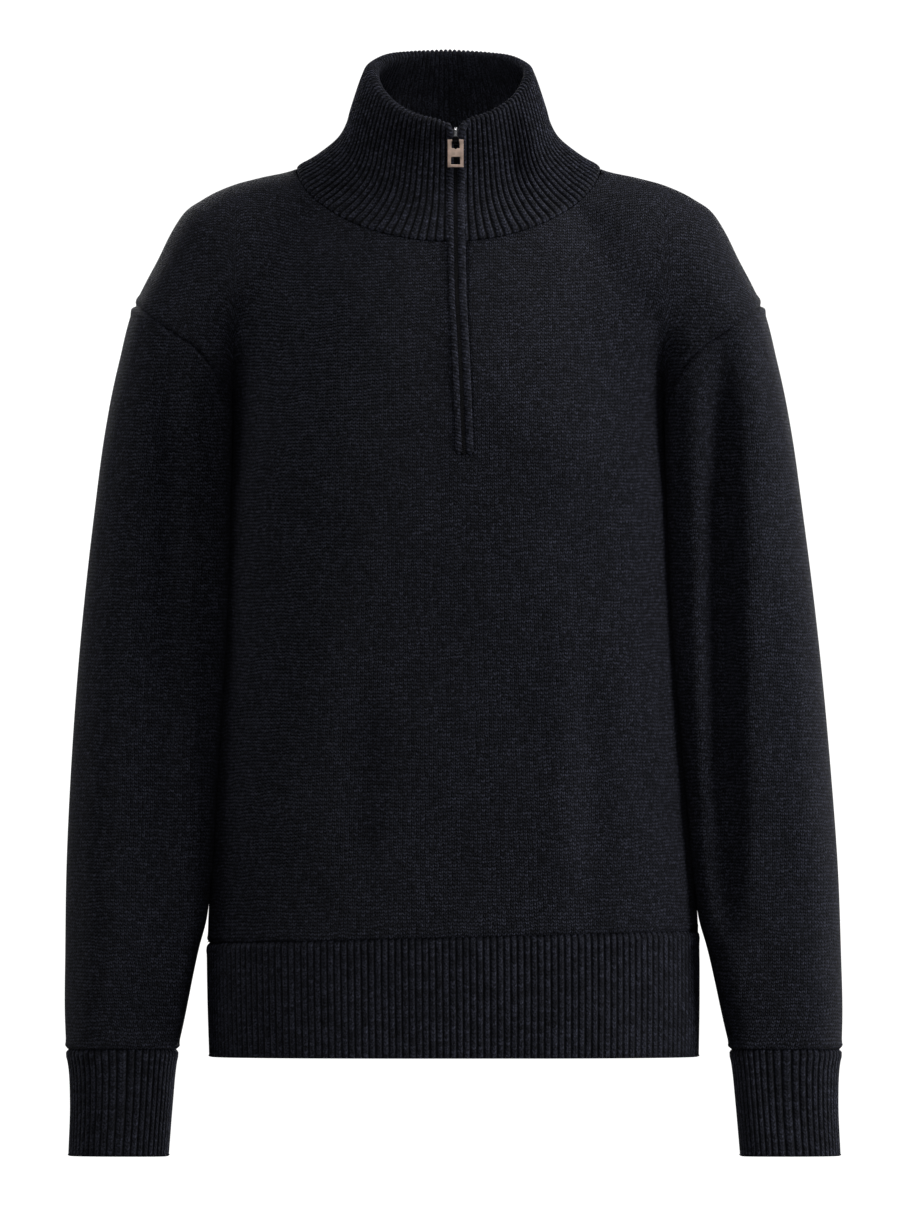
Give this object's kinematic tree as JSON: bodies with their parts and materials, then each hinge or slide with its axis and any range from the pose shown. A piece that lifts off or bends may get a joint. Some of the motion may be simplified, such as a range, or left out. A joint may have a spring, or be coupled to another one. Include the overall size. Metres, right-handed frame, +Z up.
{
  "type": "half-zip sweater",
  "caption": "Plain-knit half-zip sweater with a ribbed mock collar, deep ribbed hem and ribbed cuffs, hollow and filled out as worn, its metal pull tab hinged on the zip slider.",
  "frame": {"origin": "between the wearer's shoulders, at the height where the cloth rests on them", "axes": "+Z up, -Y the garment's front, +X the wearer's left"},
  "size_m": [0.5753, 0.2475, 0.8195],
  "materials": {
    "jersey": "matte dark navy plain knit with a soft nap",
    "rib": "matte dark navy one-by-one rib knit",
    "zip_tape": "matte near-black woven tape",
    "zip_coil": "near-black nylon coil",
    "zip_metal": "bright silver",
    "pull_metal": "satin pale copper"
  },
  "bodies": {
    "sweater": {"front_panel": "jersey", "back_panel": "jersey", "sleeve_left": "jersey", "sleeve_right": "jersey", "collar": "rib", "hem_rib_front": "rib", "hem_rib_back": "rib", "cuff_left": "rib", "cuff_right": "rib", "placket_left": "jersey", "placket_right": "jersey", "zip_tape": "zip_tape", "zip_chain": "zip_coil", "zip_slider": "zip_metal"},
    "pull_tab": {"pull_tab": "pull_metal"}
  },
  "joints": [
    {"name": "pull_tab_hinge", "type": "hinge", "parent": "sweater", "child": "pull_tab", "pos_m": [0.00522, -0.08077, 0.03191], "axis": [-1, 0, 0], "range_deg": [0, 145]}
  ]
}
